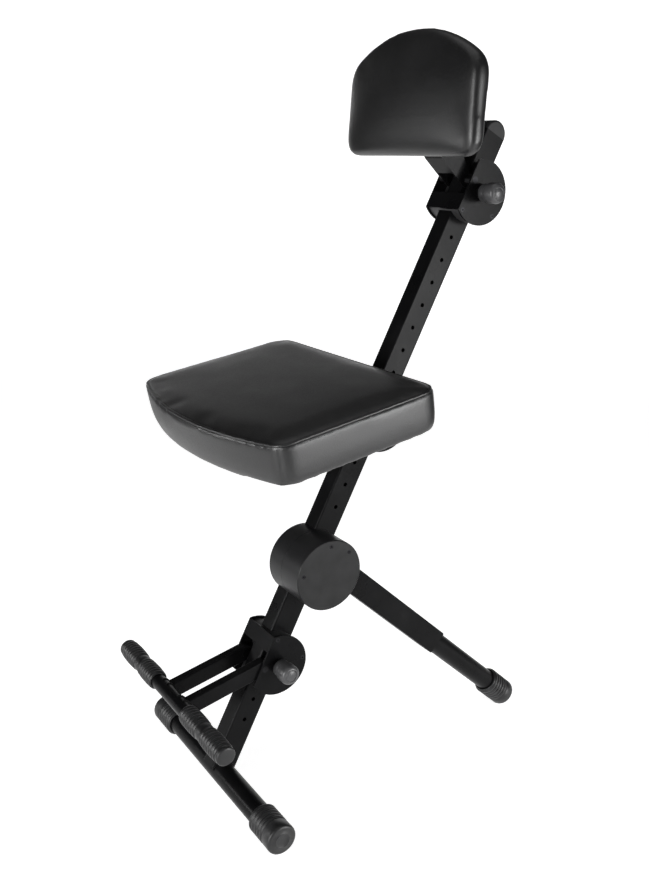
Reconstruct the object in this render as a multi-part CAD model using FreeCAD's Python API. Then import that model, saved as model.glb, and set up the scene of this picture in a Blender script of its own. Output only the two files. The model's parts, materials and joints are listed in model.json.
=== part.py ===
import FreeCAD, Part
import math
import os

# Musician chair: a leaning post on a front foot bar and one folding rear leg,
# with a footrest, a seat and a backrest that slide on the post and lock with pull pins.
# Millimetres. +Z is up, -Y is the front, +X is the side with the pull knobs.

# Post and its rows of adjustment holes, measured along the post from the floor line
post_lean = 25.5
post_width = 30.0
post_depth = 40.0
post_wall = 2.0
post_corner = 3.0
post_top = 1064.0
hole_diameter = 6.4
seat_row_start = 460.0
seat_row_pitch = 36.5
seat_row_count = 16
foot_row_start = 110.5
foot_row_pitch = 33.5
foot_row_count = 5
top_cap_plug = 24.0
top_cap_wall = 3.0

# Front foot bar and the ribbed rubber caps
bar_diameter = 34.0
bar_wall = 2.0
foot_span = 395.0
cap_diameter = 45.0
cap_length = 60.0
cap_end_wall = 4.0
cap_rib_depth = 1.8
cap_rib_count = 5
cap_ribbed_length = 34.0
cap_mouth = 3.0
cap_round = 4.0
cap_dome = 1.0
rest_flat = 0.5

# Folding hub: the post half, the leg half and its cover lie side by side along X
hub_along = 367.0
hub_diameter = 109.0
hub_post_half = 36.0
hub_gap = 0.5
hub_leg_half = 43.0
hub_cover_thickness = 4.0
hub_edge_round = 2.0
cover_chamfer = 1.2
bolt_diameter = 12.0
bolt_head_width = 19.0
bolt_head_height = 7.5
nut_height = 9.0
nut_seat_depth = 22.0
nut_seat_clearance = 3.0
washer_thickness = 1.5
washer_diameter = 24.0
running_clearance = 0.05
cover_screw_radius = 45.0
cover_screw_angles = (-17.0, 66.0, 111.0)
cover_screw_diameter = 4.0
cover_screw_head = 7.0
cover_screw_length = 12.0
cover_screw_sunk = 0.5
cover_head_height = 2.0

# Rear leg: square sleeve, round tube and a rubber cap
leg_reach = 507.0
leg_rise = 15.8
sleeve_size = 38.0
sleeve_wall = 1.8
sleeve_start = 22.0
sleeve_end = 276.0
sleeve_corner = 3.0
leg_tube_start = 190.0
leg_tube_wall = 2.0
leg_fold = 50.0
sleeve_side_gap = 3.5

# Hub lock pin, back and up from the hub axis, drawn from the far side
lock_back = 28.0
lock_up = 34.0

# Slide brackets: two round-backed side plates joined by a short front web
bracket_radius = 47.5
bracket_front = 27.0
bracket_half_width = 38.5
plate_thickness = 3.0
web_edge = 14.0
bracket_screw_radius = 41.5
bracket_screw_angles = (62.0, 151.0, 209.0)
bracket_screw_diameter = 4.0
bracket_screw_head = 6.6
bracket_screw_head_depth = 2.0
bracket_screw_length = 14.0
socket_size = 3.0
socket_depth = 1.4
guide_radius = 45.0
guide_clearance = 0.25
guide_front = 7.0
guide_web_gap = 0.3
guide_step = 1.0
foot_hole = 3
seat_hole = 4
back_hole = 14
foot_along = foot_row_start + foot_hole * foot_row_pitch
seat_along = seat_row_start + seat_hole * seat_row_pitch
back_along = seat_row_start + back_hole * seat_row_pitch

# Hinge pins of the brackets
hinge_forward = 19.5
hinge_offset = 10.5
hinge_diameter = 10.0
hinge_head_diameter = 15.0
hinge_head_thickness = 1.1
hinge_side_gap = 0.4
spacer_diameter = 16.0

# Pull pins: barrel, pin with collar, spring and knob, drawn clear of the post at rest
pin_diameter = 5.8
pin_post_gap = 0.5
pin_in_travel = 6.0
pin_out_travel = 4.0
collar_diameter = 9.9
collar_thickness = 2.0
collar_start = 6.5
barrel_diameter = 12.0
barrel_start = 1.5
barrel_chamber = 16.0
barrel_hex = 19.0
barrel_hex_height = 5.0
spring_wire = 1.0
spring_mean_diameter = 8.0
spring_turns = 4
knob_diameter = 30.0
knob_length = 31.5
knob_plate_gap = 7.0
knob_skirt_depth = 9.0
knob_skirt_wall = 2.0
knob_round = 5.0
knob_waist = 1.6
knob_recess = 1.0
knob_recess_diameter = 18.0
knob_pin_depth = 24.0

# Footrest: two arms beside the post, a round cross bar and ribbed grips
foot_slope = 14.7
arm_width = 15.0
arm_height = 24.0
arm_wall = 1.5
arm_corner = 2.0
arm_plate_gap = 0.5
arm_plug = 16.0
foot_bar_reach = 134.0
foot_bar_rise = 7.0
foot_bar_diameter = 22.0
foot_bar_wall = 2.0
foot_bar_span = 344.0
grip_length = 120.0
grip_diameter = 31.0
grip_waist_diameter = 27.5
grip_rib_depth = 1.6
grip_rib_count = 7
grip_waist_length = 16.0
grip_end_length = 8.0
grip_end_wall = 4.0

# Seat: steel cradle, board and padded cushion
seat_slope = 11.6
seat_rise = 30.5
seat_front_half = 208.0
seat_back_half = 204.0
seat_back_edge = 10.0
seat_corner_depth = 249.0
seat_front_bow = 36.0
seat_corner_radius = 30.0
seat_front_radius = 26.0
seat_thickness = 64.0
seat_draw = 3.0
seat_crown = 3.0
seat_edge_round = 5.0
board_thickness = 10.0
board_margin = 16.0
board_gap = 0.3
cradle_sheet = 3.0
cradle_length = 205.0
cradle_flange_front = 16.0
cradle_plate_half = 75.0
cradle_rear = 1.0
cradle_bolt_drop = 20.0
seat_screw_diameter = 6.0
seat_screw_head = 12.0
seat_screw_head_height = 3.0
seat_screw_length = 12.0
seat_screw_half = 55.0
seat_screw_rows = (-180.0, -60.0)

# Backrest: steel support, board and padded cushion
back_tilt = 1.4
back_gap = 80.0
back_low = 25.5
back_side_height = 126.0
back_crest = 172.0
back_low_half = 150.0
back_top_half = 146.0
back_low_radius = 22.0
back_top_radius = 36.0
back_thickness = 32.0
back_draw = 5.0
back_crown = 4.0
back_edge_round = 7.0
back_board_thickness = 9.0
back_board_margin = 18.0
support_inner = 17.0
support_sheet = 3.0
support_end_radius = 11.5
support_knee_forward = 50.4
support_knee_up = 26.8
support_low = 66.0
support_high = 132.0
support_plate_half = 42.0
support_plate_low = 52.0
support_plate_high = 142.0
support_web_start = 0.45
back_screw_half = 32.0
back_screw_rows = (62.0, 132.0)
back_screw_length = 10.0

V = FreeCAD.Vector
X_AXIS = V(1, 0, 0)
nodes = {}


# Helpers
def box(x0, x1, y0, y1, z0, z1):
    return Part.makeBox(x1 - x0, y1 - y0, z1 - z0, V(x0, y0, z0))


def rod(diameter, x0, x1, y=0.0, z=0.0):
    return Part.makeCylinder(diameter / 2, x1 - x0, V(x0, y, z), X_AXIS)


def hexagon(across, x0, x1, y=0.0, z=0.0):
    corner = across / math.sqrt(3)
    points = []
    for k in range(6):
        angle = math.radians(60 * k)
        points.append(V(x0, y + corner * math.cos(angle), z + corner * math.sin(angle)))
    return Part.Face(Part.makePolygon(points + points[:1])).extrude(V(x1 - x0, 0, 0))


def turned(profile):
    # a closed outline of (distance along X, radius), turned about the X axis
    points = [V(x, r, 0) for x, r in profile]
    face = Part.Face(Part.makePolygon(points + points[:1]))
    return face.revolve(V(0, 0, 0), X_AXIS, 360)


def sheet(points, x0, x1):
    # a straight-sided outline of (y, z), thickened along X
    corners = [V(x0, y, z) for y, z in points]
    return Part.Face(Part.makePolygon(corners + corners[:1])).extrude(V(x1 - x0, 0, 0))


def mirrored(shape):
    return shape.mirror(V(0, 0, 0), X_AXIS)


def moved(shape, place):
    copy = shape.copy()
    copy.Placement = place.multiply(copy.Placement)
    return copy


def turn_x(base, degrees):
    return FreeCAD.Placement(base, FreeCAD.Rotation(X_AXIS, degrees))


def round_edges(shape, radius, wanted):
    edges = [e for e in shape.Edges if wanted(e)]
    return shape.makeFillet(radius, edges)


def runs_along(edge, axis):
    ends = [v.Point for v in edge.Vertexes]
    return len(ends) == 2 and abs(abs((ends[1] - ends[0]).normalize().dot(axis)) - 1) < 1e-6


def along_z(edge):
    return runs_along(edge, V(0, 0, 1))


def along_y(edge):
    return runs_along(edge, V(0, 1, 0))


def ribs(start, length, count, crest, depth):
    # outline points of raised rings with sloping flanks
    pitch = length / count
    points = []
    for k in range(count):
        x = start + k * pitch
        points.append((x, crest - depth))
        points.append((x + 0.18 * pitch, crest))
        points.append((x + 0.62 * pitch, crest))
        points.append((x + 0.80 * pitch, crest - depth))
    points.append((start + length, crest - depth))
    return points


# The post frame: X across, Y back from the post axis, Z along the post
post_place = turn_x(V(0, 0, 0), -post_lean)
half_width = post_width / 2
half_depth = post_depth / 2
bar_height = cap_diameter / 2 - rest_flat
bar_along = bar_height / math.cos(math.radians(post_lean))
plate_inner = bracket_half_width - plate_thickness
hub_place = FreeCAD.Placement(V(0, 0, hub_along), FreeCAD.Rotation())
hub_height = hub_along * math.cos(math.radians(post_lean))

# The leg leans as far as lets its cap's rounded edge rest on the floor with the same flat as the bar's caps
cap_edge = 0.3 * cap_round
leg_radial = cap_diameter / 2 - cap_edge - leg_rise
leg_contact = leg_reach - cap_dome - cap_edge
leg_angle = math.degrees(
    math.asin((hub_height + rest_flat) / math.hypot(leg_contact, leg_radial))
    - math.atan2(leg_radial, leg_contact)
)
hub_x0 = -hub_post_half / 2
hub_x1 = hub_post_half / 2
drum_x0 = hub_x1 + hub_gap
drum_x1 = drum_x0 + hub_leg_half
cover_x1 = drum_x1 + hub_cover_thickness
leg_place = turn_x(V(0, 0, 0), -leg_angle + post_lean)
leg_x0 = drum_x0 + sleeve_side_gap
leg_centre = leg_x0 + sleeve_size / 2


def on_post(shape):
    return moved(shape, post_place)


def at_hub(shape):
    return on_post(moved(shape, hub_place))


def on_leg(shape):
    return at_hub(moved(shape, leg_place))


# Rubber foot cap, open end at X = 0
def foot_cap():
    crest = cap_diameter / 2
    bore = bar_diameter / 2
    tip = cap_length - cap_dome
    profile = [(0, bore), (0, crest - cap_rib_depth)]
    profile += ribs(cap_mouth, cap_ribbed_length, cap_rib_count, crest, cap_rib_depth)
    profile += [
        (cap_mouth + cap_ribbed_length + cap_rib_depth, crest),
        (tip - cap_round, crest),
        (tip - cap_edge, crest - cap_edge),
        (tip, crest - cap_round),
        (cap_length, 0),
        (cap_length - cap_end_wall, 0),
        (cap_length - cap_end_wall, bore),
    ]
    return turned(profile)


def rest_on_floor(shape):
    bound = shape.BoundBox
    floor = box(bound.XMin - 1, bound.XMax + 1, bound.YMin - 1, bound.YMax + 1, bound.ZMin - 1, 0)
    return shape.cut(floor)


# Post tube, coped over the front bar and drilled through for the pull pins and the hub bolt
def hole_places():
    seat_row = [seat_row_start + k * seat_row_pitch for k in range(seat_row_count)]
    foot_row = [foot_row_start + k * foot_row_pitch for k in range(foot_row_count)]
    return foot_row + seat_row


def make_post():
    outer = box(-half_width, half_width, -half_depth, half_depth, bar_along, post_top)
    outer = round_edges(outer, post_corner, along_z)
    inner = box(
        -half_width + post_wall, half_width - post_wall,
        -half_depth + post_wall, half_depth - post_wall,
        bar_along - 1, post_top + 1,
    )
    tube = outer.cut(inner)
    tube = tube.cut(rod(bar_diameter, -post_width, post_width, 0, bar_along))
    drills = [rod(hole_diameter, -post_width, post_width, 0, z) for z in hole_places()]
    drills.append(rod(bolt_diameter, -post_width, post_width, 0, hub_along))
    return tube.cut(Part.makeCompound(drills))


def make_front_bar():
    half = foot_span / 2 - cap_end_wall
    tube = rod(bar_diameter, -half, half, 0, bar_along)
    return tube.cut(rod(bar_diameter - 2 * bar_wall, -half - 1, half + 1, 0, bar_along))


def make_top_cap():
    crown = rod(post_depth, -half_width, half_width, 0, post_top)
    above = box(-post_width, post_width, -post_depth, post_depth, post_top, post_top + post_depth)
    crown = crown.common(above)
    arcs = [e for e in crown.Edges if e.Curve.TypeId == "Part::GeomCircle"]
    crown = crown.makeFillet(post_corner, arcs)
    plug = box(
        -half_width + post_wall, half_width - post_wall,
        -half_depth + post_wall, half_depth - post_wall,
        post_top - top_cap_plug, post_top,
    )
    hollow = box(
        -half_width + post_wall + top_cap_wall, half_width - post_wall - top_cap_wall,
        -half_depth + post_wall + top_cap_wall, half_depth - post_wall - top_cap_wall,
        post_top - top_cap_plug - 1, post_top,
    )
    return crown.fuse(plug).cut(hollow).removeSplitter()


nodes["post_tube"] = on_post(make_post())
nodes["front_bar"] = on_post(make_front_bar())
nodes["post_top_cap"] = on_post(make_top_cap())
bar_end = FreeCAD.Placement(V(foot_span / 2 - cap_length, 0, bar_along), FreeCAD.Rotation())
right_cap = rest_on_floor(on_post(moved(foot_cap(), bar_end)))
nodes["foot_cap_right"] = right_cap
nodes["foot_cap_left"] = mirrored(right_cap)


# The square sleeve's outline, shared by the sleeve and its socket in the hub
def sleeve_block(inset, start, end):
    half = sleeve_size / 2 - inset
    block = box(leg_centre - half, leg_centre + half, start, end, leg_rise - half, leg_rise + half)
    return round_edges(block, sleeve_corner - inset, along_y)


# Folding hub
def lock_point(turn):
    # the lock pin's place in the leg half, after the leg has turned
    angle = math.radians(turn)
    y = lock_back * math.cos(angle) - lock_up * math.sin(angle)
    z = lock_back * math.sin(angle) + lock_up * math.cos(angle)
    return y, z


def make_hub_post_half():
    drum = rod(hub_diameter, hub_x0, hub_x1)
    drum = round_edges(drum, hub_edge_round, lambda e: abs(e.CenterOfMass.x - hub_x0) < 1e-3)
    slot = box(-half_width, half_width, -half_depth, half_depth, -hub_diameter, hub_diameter)
    slot = round_edges(slot, post_corner, along_z)
    drum = drum.cut(slot)
    drum = drum.cut(rod(bolt_diameter, hub_x0 - 1, hub_x1 + 1))
    return drum.cut(rod(barrel_diameter, hub_x0 - 1, hub_x1 + 1, lock_back, lock_up))


def make_hub_leg_half():
    drum = rod(hub_diameter, drum_x0, drum_x1)
    drum = drum.cut(rod(bolt_diameter + 2 * running_clearance, drum_x0 - 1, drum_x1 + 1))
    seat = rod(washer_diameter + 2 * nut_seat_clearance, drum_x1 - nut_seat_depth, drum_x1 + 1)
    drum = drum.cut(seat)
    for turn in (0.0, leg_fold):
        y, z = lock_point(turn)
        drum = drum.cut(rod(hole_diameter, drum_x0 - 1, drum_x0 + pin_in_travel + 2, y, z))
    drum = drum.cut(moved(sleeve_block(0, sleeve_start, hub_diameter), leg_place))
    for y, z in cover_screw_places():
        drum = drum.cut(rod(cover_screw_diameter, cover_x1 - cover_screw_length, drum_x1 + 1, y, z))
    return drum


def cover_screw_places():
    places = []
    for angle in cover_screw_angles:
        turn = math.radians(angle)
        places.append((-cover_screw_radius * math.cos(turn), cover_screw_radius * math.sin(turn)))
    return places


def make_hub_cover():
    disc = rod(hub_diameter, drum_x1, cover_x1)
    rim = [e for e in disc.Edges if abs(e.CenterOfMass.x - cover_x1) < 1e-3]
    disc = disc.makeChamfer(cover_chamfer, rim)
    for y, z in cover_screw_places():
        disc = disc.cut(rod(cover_screw_diameter, drum_x1 - 1, cover_x1 + 1, y, z))
        seat = cover_x1 - cover_screw_sunk - cover_head_height
        disc = disc.cut(rod(cover_screw_head, seat, cover_x1 + 1, y, z))
    return disc


def socket_screw(x_top, head, head_height, diameter, length, y, z):
    # head outermost at x_top, shank towards -X, with a hexagon socket
    screw = rod(head, x_top - head_height, x_top, y, z)
    screw = screw.fuse(rod(diameter, x_top - length, x_top - head_height, y, z))
    return screw.cut(hexagon(socket_size, x_top - socket_depth, x_top + 1, y, z))


cover_screws = []
for hole_y, hole_z in cover_screw_places():
    cover_screws.append(socket_screw(
        cover_x1 - cover_screw_sunk, cover_screw_head, cover_head_height,
        cover_screw_diameter, cover_screw_length - cover_screw_sunk, hole_y, hole_z,
    ))
nut_x0 = drum_x1 - nut_seat_depth + washer_thickness + hub_gap
bolt = rod(bolt_diameter, hub_x0, nut_x0 + nut_height + 3)
bolt = bolt.fuse(hexagon(bolt_head_width, hub_x0 - bolt_head_height, hub_x0))
nut = hexagon(bolt_head_width, nut_x0, nut_x0 + nut_height).cut(rod(bolt_diameter, 0, cover_x1))
washer = rod(washer_diameter, nut_x0 - washer_thickness, nut_x0).cut(rod(bolt_diameter, 0, cover_x1))
nodes["hub_post_half"] = at_hub(make_hub_post_half())
nodes["hub_bolt"] = at_hub(bolt)
nodes["hub_nut"] = at_hub(nut)
nodes["hub_washer"] = at_hub(washer)
nodes["hub_leg_half"] = at_hub(make_hub_leg_half())
nodes["hub_cover"] = at_hub(make_hub_cover())
nodes["hub_cover_screws"] = at_hub(Part.makeCompound(cover_screws))


# Rear leg, built along +Y from the hub axis
def make_sleeve():
    outer = sleeve_block(0, sleeve_start, sleeve_end)
    return outer.cut(sleeve_block(sleeve_wall, sleeve_start - 1, sleeve_end + 1))


def make_leg_tube():
    end = leg_reach - cap_end_wall
    centre = V(leg_centre, leg_tube_start, leg_rise)
    tube = Part.makeCylinder(bar_diameter / 2, end - leg_tube_start, centre, V(0, 1, 0))
    bore = Part.makeCylinder(bar_diameter / 2 - leg_tube_wall, end - leg_tube_start, centre, V(0, 1, 0))
    return tube.cut(bore)


leg_cap_place = FreeCAD.Placement(
    V(leg_centre, leg_reach - cap_length, leg_rise), FreeCAD.Rotation(V(0, 0, 1), 90)
)
nodes["leg_sleeve"] = on_leg(make_sleeve())
nodes["leg_tube"] = on_leg(make_leg_tube())
nodes["leg_foot_cap"] = rest_on_floor(on_leg(moved(foot_cap(), leg_cap_place)))


# Pull pin set, pointing at a face at X = 0 with the knob outwards along +X
def make_barrel(plate_face):
    barrel = rod(barrel_diameter, barrel_start, plate_face)
    barrel = barrel.fuse(hexagon(barrel_hex, plate_face, plate_face + barrel_hex_height))
    chamber = rod(collar_diameter + 2 * running_clearance, barrel_start - 1, barrel_start + barrel_chamber)
    bore = rod(pin_diameter + 2 * running_clearance, 0, plate_face + barrel_hex_height + 1)
    return barrel.cut(chamber).cut(bore)


def knob_base(plate_face):
    return plate_face + knob_plate_gap


def make_pin(plate_face):
    pin = rod(pin_diameter, pin_post_gap, knob_base(plate_face) + knob_pin_depth)
    return pin.fuse(rod(collar_diameter, collar_start, collar_start + collar_thickness))


def make_spring():
    x0 = collar_start + collar_thickness + spring_wire / 2
    x1 = barrel_start + barrel_chamber - spring_wire / 2
    radius = spring_mean_diameter / 2
    steps = spring_turns * 4

    def point(k):
        angle = math.radians(90.0 * k)
        return V(x0 + (x1 - x0) * k / steps, radius * math.cos(angle), radius * math.sin(angle))

    arcs = []
    for k in range(steps):
        arcs.append(Part.Arc(point(k), point(k + 0.5), point(k + 1)).toShape())
    heading = arcs[0].tangentAt(arcs[0].FirstParameter)
    section = Part.Wire(Part.makeCircle(spring_wire / 2, point(0), heading))
    return Part.Wire(arcs).makePipeShell([section], True, False)


def make_knob(plate_face):
    start = knob_base(plate_face)
    end = start + knob_length
    radius = knob_diameter / 2
    skirt = radius - knob_waist
    bore = pin_diameter / 2
    pin_end = start + knob_pin_depth
    profile = [
        (start, skirt - knob_skirt_wall),
        (start, skirt),
        (start + knob_skirt_depth, skirt - 0.4),
        (start + knob_skirt_depth + 2 * knob_waist, radius),
        (end - knob_round, radius),
        (end - 0.3 * knob_round, radius - 0.3 * knob_round),
        (end, radius - knob_round),
        (end, knob_recess_diameter / 2),
        (end - knob_recess, knob_recess_diameter / 2 - knob_recess),
        (end - knob_recess, 0),
        (pin_end, 0),
        (pin_end, bore),
        (start + knob_skirt_depth, bore),
        (start + knob_skirt_depth, skirt - knob_skirt_wall),
    ]
    return turned(profile)


def add_pull_pin(name, plate_face, place):
    nodes[name + "_barrel"] = moved(make_barrel(plate_face), place)
    nodes[name + "_spring"] = moved(make_spring(), place)
    nodes[name + "_pull_pin"] = moved(make_pin(plate_face), place)
    nodes[name + "_knob"] = moved(make_knob(plate_face), place)


lock_place = hub_place.multiply(FreeCAD.Placement(
    V(hub_x1, lock_back, lock_up), FreeCAD.Rotation(V(0, 0, 1), 180)
))
add_pull_pin("hub_lock", hub_post_half, post_place.multiply(lock_place))


# Slide brackets, built about their own centre on the post axis
def round_back(radius, front, x0, x1):
    # a disc with its front cut off by a chord
    disc = rod(2 * radius, x0, x1)
    return disc.common(box(x0, x1, -front, radius, -radius, radius))


def bracket_screw_places(web_side):
    places = []
    for angle in bracket_screw_angles:
        turn = math.radians(angle)
        back = -bracket_screw_radius * math.cos(turn)
        places.append((back, web_side * bracket_screw_radius * math.sin(turn)))
    return places


def hinge_places(web_side):
    return [(-hinge_forward, -web_side * hinge_offset)]


def make_bracket(web_side, bolt_places):
    corner = math.sqrt(bracket_radius ** 2 - bracket_front ** 2)
    plate = round_back(bracket_radius, bracket_front, plate_inner, bracket_half_width)
    low, high = sorted((web_side * web_edge, web_side * corner))
    web = box(-plate_inner, plate_inner, -bracket_front, -bracket_front + plate_thickness, low, high)
    shell = plate.fuse([mirrored(plate), web]).removeSplitter()
    for y, z in bracket_screw_places(web_side):
        for side in (-1, 1):
            outside = side * (bracket_half_width + 1)
            reach = sorted((side * (plate_inner - 1), outside))
            head = sorted((side * (bracket_half_width - bracket_screw_head_depth), outside))
            shell = shell.cut(rod(bracket_screw_diameter, reach[0], reach[1], y, z))
            shell = shell.cut(rod(bracket_screw_head, head[0], head[1], y, z))
    for y, z in bolt_places:
        shell = shell.cut(rod(hinge_diameter, -bracket_half_width - 1, bracket_half_width + 1, y, z))
    return shell.cut(rod(barrel_diameter, plate_inner - 1, bracket_half_width + 1))


def make_guide(web_side):
    front = bracket_front - plate_thickness - guide_web_gap
    guide = round_back(guide_radius, front, -plate_inner, plate_inner)
    slot_x = half_width + guide_clearance
    slot_y = half_depth + guide_clearance
    guide = guide.cut(box(-slot_x, slot_x, -slot_y, slot_y, -bracket_radius, bracket_radius))
    low, high = sorted((-web_side * bracket_radius, web_side * (web_edge - guide_step)))
    guide = guide.cut(box(-plate_inner - 1, plate_inner + 1, -bracket_radius, -guide_front, low, high))
    for y, z in bracket_screw_places(web_side):
        depth = bracket_half_width - bracket_screw_length
        guide = guide.cut(rod(bracket_screw_diameter, depth, plate_inner + 1, y, z))
        guide = guide.cut(rod(bracket_screw_diameter, -plate_inner - 1, -depth, y, z))
    return guide.cut(rod(barrel_diameter, 0, plate_inner + 1))


def make_bracket_screws(web_side):
    screws = []
    for y, z in bracket_screw_places(web_side):
        screw = socket_screw(
            bracket_half_width, bracket_screw_head, bracket_screw_head_depth,
            bracket_screw_diameter, bracket_screw_length, y, z,
        )
        screws += [screw, mirrored(screw)]
    return Part.makeCompound(screws)


def make_pivot_pins(bolt_places, held_from):
    # headed pins whose heads lie just inside the piece they carry
    pins = []
    start = held_from - hinge_side_gap - hinge_head_thickness
    for y, z in bolt_places:
        pin = rod(hinge_diameter, start, bracket_half_width, y, z)
        pin = pin.fuse(rod(hinge_head_diameter, start, start + hinge_head_thickness, y, z))
        pins += [pin, mirrored(pin)]
    return Part.makeCompound(pins)


def slide_place(along):
    return post_place.multiply(FreeCAD.Placement(V(0, 0, along), FreeCAD.Rotation()))


def add_slide(name, along, web_side, bolt_places):
    place = slide_place(along)
    nodes[name + "_bracket"] = moved(make_bracket(web_side, bolt_places), place)
    nodes[name + "_guide"] = moved(make_guide(web_side), place)
    nodes[name + "_bracket_screws"] = moved(make_bracket_screws(web_side), place)
    pin_place = place.multiply(FreeCAD.Placement(V(half_width, 0, 0), FreeCAD.Rotation()))
    add_pull_pin(name, bracket_half_width - half_width, pin_place)


def hinge_place(along, web_side, slope):
    # a frame at the hinge axis: Y runs back along the hinged piece, Z square to it
    at_pin = turn_x(V(0, -hinge_forward, along - web_side * hinge_offset), post_lean + slope)
    return post_place.multiply(at_pin)


# Footrest
arm_inner = plate_inner - arm_plate_gap - arm_width


def on_arm_side(edge):
    # the long edges and the round end's edges, but not those of the cut front end
    sides = (arm_inner, arm_inner + arm_width)
    flat = any(abs(edge.BoundBox.XMin - x) + abs(edge.BoundBox.XMax - x) < 1e-3 for x in sides)
    return flat and edge.BoundBox.YMax > -foot_bar_reach + 1e-3


def make_arm():
    x1 = arm_inner + arm_width
    half = arm_height / 2
    tube = box(arm_inner, x1, -foot_bar_reach, 0, -half, half).fuse(rod(arm_height, arm_inner, x1))
    tube = round_edges(tube.removeSplitter(), arm_corner, on_arm_side)
    hollow = box(
        arm_inner + arm_wall, x1 - arm_wall, -foot_bar_reach - 1, -arm_plug,
        -half + arm_wall, half - arm_wall,
    )
    tube = tube.cut(hollow)
    tube = tube.cut(rod(hinge_diameter + 2 * running_clearance, 0, x1 + 1))
    return tube.cut(rod(foot_bar_diameter, 0, x1 + 1, -foot_bar_reach, foot_bar_rise))


def make_cross_bar():
    half = foot_bar_span / 2 - grip_end_wall
    bar = rod(foot_bar_diameter, -half, half, -foot_bar_reach, foot_bar_rise)
    bore = rod(foot_bar_diameter - 2 * foot_bar_wall, -half - 1, half + 1, -foot_bar_reach, foot_bar_rise)
    return bar.cut(bore)


def make_grip():
    crest = grip_diameter / 2
    waist = grip_waist_diameter / 2
    bore = foot_bar_diameter / 2
    ribbed = (grip_length - grip_waist_length - grip_end_length) / 2
    outer_start = ribbed + grip_waist_length
    end = grip_length
    profile = [(0, bore)]
    profile += ribs(0, ribbed, grip_rib_count, crest, grip_rib_depth)
    profile += [(ribbed + 0.2 * grip_waist_length, waist), (outer_start - 0.2 * grip_waist_length, waist)]
    profile += ribs(outer_start, ribbed, grip_rib_count, crest, grip_rib_depth)
    profile += [
        (end - 0.3 * grip_end_length, crest - grip_rib_depth),
        (end, crest - 2.5 * grip_rib_depth),
        (end, 0),
        (end - grip_end_wall, 0),
        (end - grip_end_wall, bore),
    ]
    at_bar = FreeCAD.Placement(
        V(foot_bar_span / 2 - grip_length, -foot_bar_reach, foot_bar_rise), FreeCAD.Rotation()
    )
    return moved(turned(profile), at_bar)


foot_place = hinge_place(foot_along, 1, foot_slope)
add_slide("footrest", foot_along, 1, hinge_places(1))
nodes["footrest_hinge_pins"] = moved(make_pivot_pins(hinge_places(1), arm_inner), slide_place(foot_along))
nodes["footrest_arm_right"] = moved(make_arm(), foot_place)
nodes["footrest_arm_left"] = moved(mirrored(make_arm()), foot_place)
nodes["footrest_cross_bar"] = moved(make_cross_bar(), foot_place)
nodes["footrest_grip_right"] = moved(make_grip(), foot_place)
nodes["footrest_grip_left"] = moved(mirrored(make_grip()), foot_place)


# Outlines of the padded pieces: straight and bowed runs, counter-clockwise, with rounded corners
def inward(a, b):
    run = (b - a).normalize()
    return V(-run.y, run.x, 0)


def bow_circle(a, b, bow):
    half = (b - a).Length / 2
    radius = (half ** 2 + bow ** 2) / (2 * bow)
    return (a + b) * 0.5 + inward(a, b) * (radius - bow), radius


def between_straights(before, here, after, radius):
    back = (before - here).normalize()
    ahead = (after - here).normalize()
    half_turn = back.getAngle(ahead) / 2
    return here + (back + ahead).normalize() * (radius / math.sin(half_turn))


def beside_bow(straight, bowed, here, radius):
    # the rounding touches the straight run and the inside of the bow
    start = straight[0] + inward(*straight) * radius
    run = (straight[1] - straight[0]).normalize()
    centre, big = bow_circle(*bowed)
    gap = start - centre
    along = gap.dot(run)
    root = math.sqrt(along ** 2 - gap.dot(gap) + (big - radius) ** 2)
    options = [start + run * (-along + root), start + run * (-along - root)]
    return min(options, key=lambda point: (point - here).Length)


def touch(centre, a, b, bow, radius):
    if bow == 0:
        return centre - inward(a, b) * radius
    middle, big = bow_circle(a, b, bow)
    return middle + (centre - middle).normalize() * big


def rounded_outline(corners, radii, bows, lift):
    # bows gives the height of the bow on the run that starts at each corner, 0 for a straight run
    count = len(corners)
    rounds = []
    for k in range(count):
        before = corners[k - 1]
        here = corners[k]
        after = corners[(k + 1) % count]
        bow_in = bows[k - 1]
        bow_out = bows[k]
        if bow_in:
            centre = beside_bow((here, after), (before, here, bow_in), here, radii[k])
        elif bow_out:
            centre = beside_bow((before, here), (here, after, bow_out), here, radii[k])
        else:
            centre = between_straights(before, here, after, radii[k])
        first = touch(centre, before, here, bow_in, radii[k])
        last = touch(centre, here, after, bow_out, radii[k])
        middle = centre + (first + last - centre * 2).normalize() * radii[k]
        rounds.append((first + lift, middle + lift, last + lift))
    edges = []
    for k in range(count):
        first, middle, last = rounds[k]
        edges.append(Part.Arc(first, middle, last).toShape())
        goal = rounds[(k + 1) % count][0]
        if bows[k] == 0:
            edges.append(Part.makeLine(last, goal))
        else:
            centre, big = bow_circle(corners[k], corners[(k + 1) % count], bows[k])
            centre = centre + lift
            top = centre + (last + goal - centre * 2).normalize() * big
            edges.append(Part.Arc(last, top, goal).toShape())
    return Part.Wire(edges)


def padded(outline, levels):
    # levels are (height, margin) pairs from the flat side to the crowned side
    wires = [outline(margin, height) for height, margin in levels]
    return Part.makeLoft(wires, True, True)


# Seat, in its hinge frame: X across, Y back, Z square to the seat
def seat_outline(margin, height):
    front = seat_back_edge - seat_corner_depth + margin
    back = seat_back_edge - margin
    corners = [
        V(-seat_front_half + margin, front, 0),
        V(seat_front_half - margin, front, 0),
        V(seat_back_half - margin, back, 0),
        V(-seat_back_half + margin, back, 0),
    ]
    shrink = 1 - margin / seat_front_half
    radii = [seat_front_radius * shrink, seat_front_radius * shrink]
    radii += [seat_corner_radius * shrink, seat_corner_radius * shrink]
    return rounded_outline(corners, radii, [seat_front_bow * shrink, 0, 0, 0], V(0, 0, height))


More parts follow.
